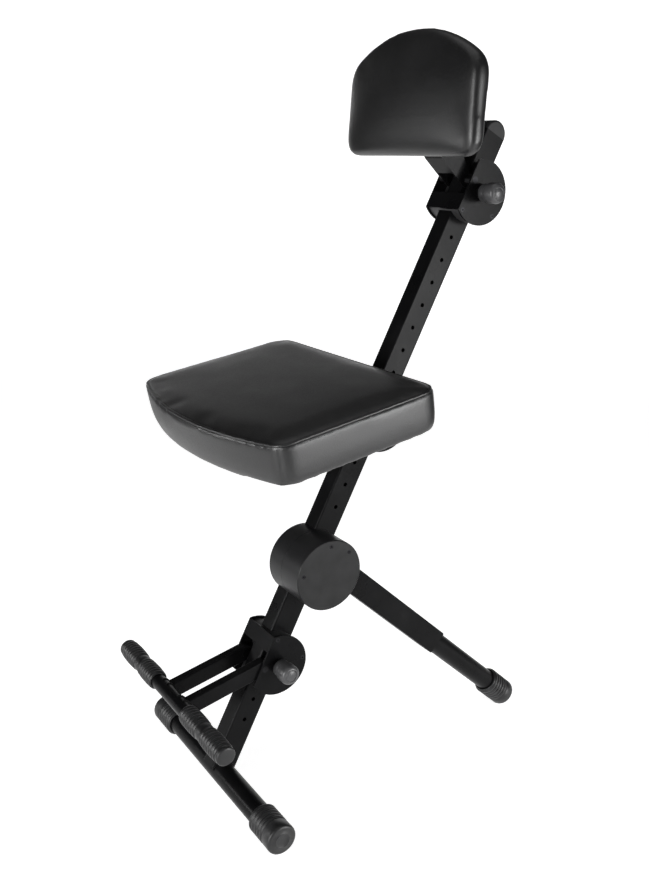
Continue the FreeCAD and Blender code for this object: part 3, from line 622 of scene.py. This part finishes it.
stitchRow = {"pitch": 0.0042, "length": 0.0026, "width": 0.0007, "lift": 0.0002}
stapleRow = {"pitch": 0.024, "length": 0.011, "width": 0.0012, "lift": 0.0002, "inset": 0.007, "cut": 0.004}


def stitchMesh(name, laid, row):
    bm = bmesh.new()
    for k, (place, normal) in enumerate(laid):
        run = (laid[(k + 1) % len(laid)][0] - laid[k - 1][0]).normalized()
        side = normal.cross(run).normalized()
        turn = Matrix((run, side, run.cross(side))).transposed().to_4x4()
        size = Matrix.Diagonal((row["length"] / 2, row["width"] / 2, row["width"] / 2, 1.0))
        placed = Matrix.Translation(place) @ turn @ size
        bmesh.ops.create_icosphere(bm, subdivisions=1, radius=1.0, matrix=placed)
    return meshFrom(name, bm)


# a sewn upright seam at each front corner of the seat draws the vinyl in
def creaseCorners(piece, pad):
    loop = seamLoop(pad["node"], pad["out"], pad["stitchDepth"], pad["creaseStep"])
    middle = sum(loop, Vector()) / len(loop)
    for side in (-1.0, 1.0):
        corner = max(loop, key=lambda p: side * p.x * pad["cornerAim"][0] - p.y * pad["cornerAim"][1])
        inwards = (middle - corner).normalized()
        top = corner.dot(pad["out"])
        for v in piece.data.vertices:
            away = v.co - corner
            away -= pad["out"] * away.dot(pad["out"])
            if away.length < pad["creaseReach"] * 3 and v.co.dot(pad["out"]) < top:
                across = abs(away.cross(pad["out"]).dot(inwards))
                if across < pad["creaseReach"]:
                    v.co += inwards * pad["creaseDepth"] * (1.0 - across / pad["creaseReach"]) ** 2


seatCushion = makePad("seatCushion", seatPad, seatHeld)
creaseCorners(seatCushion, seatPad)
makePad("backCushion", backPad, backHeld)

seatSurface = surfaceOf(seatCushion)
seatSolid = (seatPad["node"], seatPad["out"])
weltLoop = seamLoop(*seatSolid, seatPad["weltDepth"], seatPad["weltStep"])
weltLine = [place for place, _ in laidOn(weltLoop, seatSurface, -seatPad["weltSunk"])]
welt = tubeMesh("seatWelt", weltLine, seatPad["weltRadius"])
addPiece("seatWelt", welt, materials["vinyl"], "seat_slider")
stitchLine = laidOn(
    seamLoop(*seatSolid, seatPad["stitchDepth"], stitchRow["pitch"]), seatSurface, stitchRow["lift"],
)
addPiece("seatStitches", stitchMesh("seatStitches", stitchLine, stitchRow), thread, "seat_slider")


# staples round the hidden face of each board hold the cover
def addStaples(name, node, pad):
    inwards = -pad["out"]
    loop = seamLoop(node, inwards, stapleRow["cut"], stapleRow["pitch"])
    level = max(v.co.dot(inwards) for v in cadNodes[node].data.vertices)
    middle = sum(loop, Vector()) / len(loop)
    laid = []
    for point in loop:
        place = point + (middle - point).normalized() * stapleRow["inset"]
        place += inwards * (level - place.dot(inwards) + stapleRow["lift"])
        laid.append((place, inwards))
    addPiece(name, stitchMesh(name, laid, stapleRow), materials["pin_steel"], pad["body"])


addStaples("seatStaples", "seat_board", seatPad)
addStaples("backStaples", "backrest_board", backPad)
print("seams sewn")


# turned pieces: a profile of (distance along X, radius) spun round the X axis
def turned(profile, steps, place):
    bm = bmesh.new()
    verts = [bm.verts.new((x, 0.0, r)) for x, r in profile]
    edges = [bm.edges.new(pair) for pair in zip(verts, verts[1:])]
    bmesh.ops.spin(
        bm, geom=verts + edges, cent=(0, 0, 0), axis=(1.0, 0.0, 0.0), angle=math.tau, steps=steps,
        use_merge=True,
    )
    bmesh.ops.remove_doubles(bm, verts=bm.verts, dist=1e-6)
    bmesh.ops.recalc_face_normals(bm, faces=bm.faces)
    bmesh.ops.transform(bm, matrix=place, verts=bm.verts)
    if place.determinant() < 0:
        bmesh.ops.reverse_faces(bm, faces=bm.faces)
    return bm


# one rib: (share of the pitch, share of the groove's depth)
ribShape = ((0.04, 1.0), (0.14, 0.35), (0.30, 0.0), (0.62, 0.0), (0.78, 0.35), (0.88, 1.0))


def roundRibs(start, length, count, crest, depth):
    points = []
    pitch = length / count
    for k in range(count):
        for t, drop in ribShape:
            points.append((start + (k + t) * pitch, crest - depth * drop))
    return points


def middleOf(node):
    low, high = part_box(node)
    return (Vector(low) + Vector(high)) / 2


# rubber foot caps: ribs at the mouth, a smooth collar and a domed end with a ring
footCap = {
    "length": 0.060,
    "radius": 0.0225,
    "bore": 0.0170,
    "endWall": 0.004,
    "ribDepth": 0.0022,
    "ribs": 5,
    "ribbed": 0.036,
    "steps": 64,
    "mouth": 0.002,
    "collar": (0.004, 0.0002),  # past the ribs, in from the radius
    # back from the end, in from the radius
    "shoulder": ((0.0052, 0.0), (0.0032, 0.0006), (0.0016, 0.0024), (0.0011, 0.0048)),
    # back from the end, radius
    "endRing": ((0.0010, 0.0120), (0.0004, 0.0114), (0.0003, 0.0104), (0.0009, 0.0098)),
    "legAngle": 40.459,
    "legRise": 0.0158,
    "legReach": 0.507,
}


def capProfile(cap):
    r = cap["radius"]
    end = cap["length"]
    inside = end - cap["endWall"]
    profile = [(inside, 0.0), (inside, cap["bore"]), (0.0, cap["bore"]), (0.0, r - cap["ribDepth"] * 1.4)]
    profile += [(cap["mouth"] / 2, r - cap["ribDepth"])]
    profile += roundRibs(cap["mouth"], cap["ribbed"], cap["ribs"], r, cap["ribDepth"])
    past, drop = cap["collar"]
    profile += [(cap["ribbed"] + past, r - drop)]
    profile += [(end - back, r - drop) for back, drop in cap["shoulder"]]
    profile += [(end - back, ring) for back, ring in cap["endRing"]]
    return profile + [(end, 0.0)]


def addCap(name, node, body, place):
    bm = turned(capProfile(footCap), footCap["steps"], place)
    # the floor flattens the cap where it stands
    bmesh.ops.bisect_plane(
        bm, geom=bm.verts[:] + bm.edges[:] + bm.faces[:], plane_co=(0, 0, 0), plane_no=(0, 0, -1.0),
        clear_outer=True,
    )
    bmesh.ops.holes_fill(bm, edges=[e for e in bm.edges if e.is_boundary and e.verts[0].co.z < 1e-5])
    piece = addPiece(name, meshFrom(name, bm), materials["rubber"], body)
    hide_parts(node)


barMiddle = middleOf("front_bar")
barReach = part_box("foot_cap_right")[1][0] - footCap["length"]
atBarEnd = Matrix.Translation((barReach, barMiddle.y, barMiddle.z))
addCap("barCapRight", "foot_cap_right", "frame", atBarEnd)
addCap("barCapLeft", "foot_cap_left", "frame", Matrix.Diagonal((-1.0, 1.0, 1.0, 1.0)) @ atBarEnd)
jointPlace = {joint["name"]: joint for joint in frame["joints"]}
hubAxis = Vector(jointPlace["leg_fold"]["pos_m"])
legTurn = Matrix.Rotation(-math.radians(footCap["legAngle"]), 4, "X")
legMouth = Matrix.Translation(
    (middleOf("leg_foot_cap").x, footCap["legReach"] - footCap["length"], footCap["legRise"])
)
atLegEnd = Matrix.Translation(hubAxis) @ legTurn @ legMouth @ Matrix.Rotation(math.radians(90.0), 4, "Z")
addCap("legCap", "leg_foot_cap", "rear_leg", atLegEnd)


# footrest grips: two ribbed swells with a waist between and a flanged end
grip = {
    "length": 0.120,
    "radius": 0.0155,
    "waist": 0.0136,
    "bore": 0.0110,
    "endWall": 0.004,
    "ribDepth": 0.0021,
    "ribs": 7,
    "ribbed": 0.048,
    "swell": 0.0010,
    "steps": 56,
    "mouth": (0.0005, 0.0026),  # along, in from the radius
    "waistEase": 0.0035,
    "flangeLength": 0.008,
    # back from the end, in from the radius
    "flange": ((0.0072, 0.0018), (0.0022, 0.0018), (0.0007, 0.0028), (0.0, 0.0050)),
}


def gripProfile(g):
    end = g["length"]
    first, mouthDrop = g["mouth"]
    second = end - g["ribbed"] - g["flangeLength"]
    inside = end - g["endWall"]
    profile = [(inside, 0.0), (inside, g["bore"]), (0.0, g["bore"]), (0.0, g["radius"] - mouthDrop)]
    for start in (first, second):
        for x, r in roundRibs(start, g["ribbed"], g["ribs"], g["radius"], g["ribDepth"]):
            bulge = 1.0 - (2.0 * (x - start) / g["ribbed"] - 1.0) ** 2
            profile.append((x, r - g["swell"] * (1.0 - bulge)))
        if start < second:
            ease = g["waistEase"]
            profile += [(g["ribbed"] + ease, g["waist"]), (second - ease, g["waist"])]
    profile += [(end - back, g["radius"] - drop) for back, drop in g["flange"]]
    return profile + [(end, 0.0)]


gripMiddle = middleOf("footrest_cross_bar")
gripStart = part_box("footrest_grip_right")[1][0] - grip["length"]
atGrip = Matrix.Translation((gripStart, gripMiddle.y, gripMiddle.z))
for side, flip in (("right", Matrix.Identity(4)), ("left", Matrix.Diagonal((-1.0, 1.0, 1.0, 1.0)))):
    bm = turned(gripProfile(grip), grip["steps"], flip @ atGrip)
    name = "grip" + side.capitalize()
    piece = addPiece(name, meshFrom(name, bm), materials["rubber"], "footrest_arms")
    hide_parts("footrest_grip_" + side)


# pull knobs: a skirted barrel shape with a ring on its end face
knob = {
    "length": 0.0315,
    "radius": 0.0150,
    "skirt": 0.0134,
    "wall": 0.0020,
    "skirtDepth": 0.0090,
    "shoulder": 0.0034,
    "round": 0.0062,
    "edge": 0.0006,
    "taper": 0.0003,
    "ring": 0.0088,
    # back from the end, out from the ring
    "endRing": ((0.0, 0.0006), (0.0007, 0.0), (0.0007, -0.0009), (0.0001, -0.0015)),
    "steps": 48,
}


def knobProfile(k):
    end = k["length"]
    r = k["radius"]
    inner = k["skirt"] - k["wall"]
    profile = [(k["skirtDepth"], 0.0), (k["skirtDepth"], inner), (k["edge"], inner), (0.0, inner + 0.0004)]
    profile += [(0.0, k["skirt"] - 0.0005), (k["edge"], k["skirt"])]
    profile += [(k["skirtDepth"], k["skirt"] - k["taper"])]
    for t in (0.0, 0.25, 0.5, 0.75, 1.0):
        rise = 0.5 - 0.5 * math.cos(math.pi * t)
        along = k["skirtDepth"] + k["edge"] + k["shoulder"] * t
        profile.append((along, k["skirt"] - k["taper"] + (r - k["skirt"] + k["taper"]) * rise))
    for t in range(0, 91, 15):
        angle = math.radians(t)
        along = end - k["round"] + k["round"] * math.sin(angle)
        profile.append((along, r - k["round"] + k["round"] * math.cos(angle)))
    profile += [(end - back, k["ring"] + out) for back, out in k["endRing"]]
    return profile + [(end - k["endRing"][-1][0], 0.0)]


def addKnob(node, body, outwards):
    low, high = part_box(node)
    middle = middleOf(node)
    start = low[0] if outwards > 0 else high[0]
    place = Matrix.Translation((start, middle.y, middle.z)) @ Matrix.Diagonal((outwards, 1.0, 1.0, 1.0))
    name = node.replace("_knob", "Knob").replace("hub_lock", "hubLock")
    bm = turned(knobProfile(knob), knob["steps"], place)
    piece = addPiece(name, meshFrom(name, bm), materials["knob_plastic"], body)
    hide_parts(node)


addKnob("footrest_knob", "footrest_lock", 1.0)
addKnob("seat_knob", "seat_lock", 1.0)
addKnob("backrest_knob", "backrest_lock", 1.0)
addKnob("hub_lock_knob", "hub_lock", -1.0)
print("turned pieces made")


# lock springs: each is a copy of its spring solid, set where it stands; one end sits in the barrel, the other
# against the collar of the pull pin
springHolders = {
    "footrest_spring": ("footrest_slider", "footrest_lock", 1.0),
    "seat_spring": ("seat_slider", "seat_lock", 1.0),
    "backrest_spring": ("backrest_slider", "backrest_lock", 1.0),
    "hub_lock_spring": ("frame", "hub_lock", -1.0),
}
for node, (holder, mover, outwards) in springHolders.items():
    name = node.replace("_spring", "Spring").replace("hub_lock", "hubLock")
    piece = addPiece(name, meshFrom(name, solidCopy(node)), materials["pin_steel"], None)
    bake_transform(piece)
    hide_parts(node)


# weld beads where a tube meets a round bar, rippled as they were laid
postWeld = {"bead": 0.0017, "barRadius": 0.017, "spread": math.radians(176.0)}
armWeld = {"bead": 0.0013, "barRadius": 0.011, "spread": math.radians(150.0)}
weldRipple = {"height": 0.00022, "waves": 26, "stepsPerWave": 4}
beadSection = {"segments": 10, "proud": 0.35}


def weldArc(bm, centre, x, facing, weld):
    # a bead bent round a bar that lies along X, centred on the facing direction
    start = Matrix.Rotation(-weld["spread"] / 2, 3, "X") @ facing.normalized()
    radius = weld["barRadius"] + weld["bead"] * beadSection["proud"]
    middle = Vector((x, centre.y, centre.z)) + start * radius
    tangent = start.cross(Vector((1.0, 0.0, 0.0)))
    section = Matrix((start, Vector((1.0, 0.0, 0.0)), tangent)).transposed().to_4x4()
    placed = Matrix.Translation(middle) @ section
    circle = bmesh.ops.create_circle(
        bm, segments=beadSection["segments"], radius=weld["bead"], matrix=placed,
    )
    ring = circle["verts"]
    edges = list({e for v in ring for e in v.link_edges})
    made = bmesh.ops.spin(
        bm, geom=ring + edges, cent=(x, centre.y, centre.z), axis=(1.0, 0.0, 0.0), angle=weld["spread"],
        steps=weldRipple["waves"] * weldRipple["stepsPerWave"],
    )
    bmesh.ops.holes_fill(bm, edges=edges)
    bmesh.ops.holes_fill(bm, edges=[e for e in made["geom_last"] if isinstance(e, bmesh.types.BMEdge)])


def addWelds(name, body, centre, sides, facing, weld):
    bm = bmesh.new()
    for x in sides:
        weldArc(bm, centre, x, facing, weld)
    for v in bm.verts:
        away = Vector((0.0, v.co.y - centre.y, v.co.z - centre.z))
        wave = math.atan2(away.z, away.y) * weldRipple["waves"] * math.tau / weld["spread"]
        v.co += away.normalized() * weldRipple["height"] * math.sin(wave)
    bmesh.ops.recalc_face_normals(bm, faces=bm.faces)
    addPiece(name, meshFrom(name, bm), materials["frame_paint"], body)


def sidesOf(node):
    low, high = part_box(node)
    return low[0], high[0]


postRise = Vector(jointPlace["footrest_height"]["axis"])
addWelds("postWeld", "frame", barMiddle, sidesOf("post_tube"), postRise, postWeld)
armFacing = Vector(jointPlace["footrest_fold"]["pos_m"]) - gripMiddle
armFacing.x = 0.0
for side in ("right", "left"):
    sides = sidesOf("footrest_arm_" + side)
    addWelds("armWeld" + side.capitalize(), "footrest_arms", gripMiddle, sides, armFacing, armWeld)
print("welds laid")


# camera at the photograph's viewing angle
cameraSetup = {
    "place": Vector((1.15049, -0.80646, 0.89973)),
    "azimuth": 57.0,
    "pitch": 15.96,
    "roll": 2.0,
    "focalPixels": 963.83,
    "imageHeight": 893.0,
    "sensor": 36.0,
}


def makeCamera(setup):
    azimuth = math.radians(setup["azimuth"])
    pitch = math.radians(setup["pitch"])
    roll = math.radians(setup["roll"])
    level = math.cos(pitch)
    back = Vector((math.sin(azimuth) * level, -math.cos(azimuth) * level, math.sin(pitch)))
    right = (-back).cross(Vector((0.0, 0.0, 1.0))).normalized()
    up = right.cross(-back)
    turnedRight = right * math.cos(roll) + up * math.sin(roll)
    turnedUp = up * math.cos(roll) - right * math.sin(roll)
    data = bpy.data.cameras.new("camera")
    data.sensor_fit = "VERTICAL"
    data.sensor_height = setup["sensor"]
    data.lens = setup["sensor"] * setup["focalPixels"] / setup["imageHeight"]
    camera = bpy.data.objects.new("camera", data)
    turn = Matrix((turnedRight, turnedUp, back)).transposed().to_4x4()
    camera.matrix_world = Matrix.Translation(setup["place"]) @ turn
    scene.collection.objects.link(camera)
    scene.camera = camera
    return back


viewBack = makeCamera(cameraSetup)


# pale floor that sweeps up behind the object, seen from the camera
studio = {
    "floorRadius": 1.6,
    "radius": 4.2,
    "sweep": 0.9,
    "wallTop": 2.1,
    "roomRadius": 4.4,
    "roomTop": 5.0,
    "spread": 78.0,
    "overlap": 0.9,
    "backdropDrop": 0.001,
    "roomDrop": 0.003,
    "paper": 0.80,
    "paperSpread": 0.01,
    "fibreScale": 30.0,
    "rough": 0.95,
    "glow": 0.77,
    "world": 0.03,
}


def makePaper(look):
    material, tree, shader, coords = newMaterial("studioPaper")
    fibre = noise(tree, coords, look["fibreScale"], 4.0)
    low = look["paper"] - look["paperSpread"]
    high = look["paper"] + look["paperSpread"]
    tree.links.new(tint(tree, fibre, [(0.3, (low,) * 3), (0.7, (high,) * 3)]), shader.inputs["Base Color"])
    shader.inputs["Roughness"].default_value = look["rough"]
    shader.inputs["Specular IOR Level"].default_value = 0.0
    shader.inputs["Emission Color"].default_value = (1.0, 1.0, 1.0, 1.0)
    shader.inputs["Emission Strength"].default_value = look["glow"]
    return material


# a strip of floor, its curve upwards and a wall, turned about the Z axis
def sweepMesh(name, near, radius, depth, wallTop, start, spread, steps):
    bm = bmesh.new()
    corner = bm.verts.new((radius, 0.0, -depth))
    arc = bmesh.ops.spin(
        bm, geom=[corner], cent=(radius, 0.0, studio["sweep"] - depth), axis=(0.0, 1.0, 0.0),
        angle=-math.radians(90.0), steps=16,
    )
    edge = [e for e in arc["geom_last"] if isinstance(e, bmesh.types.BMVert)][0]
    bm.edges.new((edge, bm.verts.new((edge.co.x, 0.0, wallTop))))
    bm.edges.new((bm.verts.new((near, 0.0, -depth)), corner))
    bmesh.ops.rotate(bm, verts=bm.verts, cent=(0, 0, 0), matrix=Matrix.Rotation(start, 3, "Z"))
    bmesh.ops.spin(
        bm, geom=bm.verts[:] + bm.edges[:], cent=(0, 0, 0), axis=(0.0, 0.0, 1.0), angle=spread, steps=steps,
        use_merge=spread >= math.tau,
    )
    bmesh.ops.recalc_face_normals(bm, faces=bm.faces)
    return meshFrom(name, bm)


def makeStudio(look):
    paper = makePaper(look)
    bm = bmesh.new()
    bmesh.ops.create_circle(bm, cap_ends=True, segments=96, radius=look["floorRadius"])
    floor = bpy.data.objects.new("floor", meshFrom("floor", bm))
    spread = math.radians(look["spread"])
    start = math.atan2(-viewBack.y, -viewBack.x) - spread / 2
    near = look["floorRadius"] * look["overlap"]
    sweep = bpy.data.objects.new("backdrop", sweepMesh(
        "backdrop", near, look["radius"], look["backdropDrop"], look["wallTop"], start, spread, 40,
    ))
    # the rest of the room is paper too, but lights nothing and shows in no reflection
    surround = bpy.data.objects.new("surround", sweepMesh(
        "surround", near, look["roomRadius"], look["roomDrop"], look["roomTop"], 0.0, math.tau, 96,
    ))
    surround.visible_diffuse = False
    surround.visible_glossy = False
    surround.visible_transmission = False
    surround.visible_shadow = False
    for piece in (floor, sweep, surround):
        piece.data.materials.append(paper)
        scene.collection.objects.link(piece)
    world = bpy.data.worlds.new("studio")
    world.use_nodes = True
    world.node_tree.nodes["Background"].inputs["Color"].default_value = (look["world"],) * 3 + (1.0,)
    scene.world = world


makeStudio(studio)

softLights = {
    "overhead": {"place": (0.2, -0.3, 3.0), "aim": (0.0, 0.1, 0.3), "size": (2.6, 2.6), "power": 17.0},
    "rightSoft": {"place": (2.2, 1.2, 0.6), "aim": (0.0, 0.0, 0.6), "size": (1.3, 1.2), "power": 66.0},
    "edgeStrip": {"place": (1.05, -2.4, 0.65), "aim": (0.0, 0.0, 0.65), "size": (0.4, 1.2), "power": 64.0},
    "leftFill": {"place": (-1.2, -1.9, 0.5), "aim": (0.0, 0.0, 0.8), "size": (0.6, 0.4), "power": 11.0},
}
for name, light in softLights.items():
    data = bpy.data.lights.new(name, "AREA")
    data.shape = "RECTANGLE"
    data.size, data.size_y = light["size"]
    data.energy = light["power"]
    lamp = bpy.data.objects.new(name, data)
    lamp.location = light["place"]
    aim = Vector(light["aim"]) - Vector(light["place"])
    lamp.rotation_euler = aim.to_track_quat("-Z", "Y").to_euler()
    scene.collection.objects.link(lamp)
scene.view_settings.view_transform = "Standard"
print("studio ready")
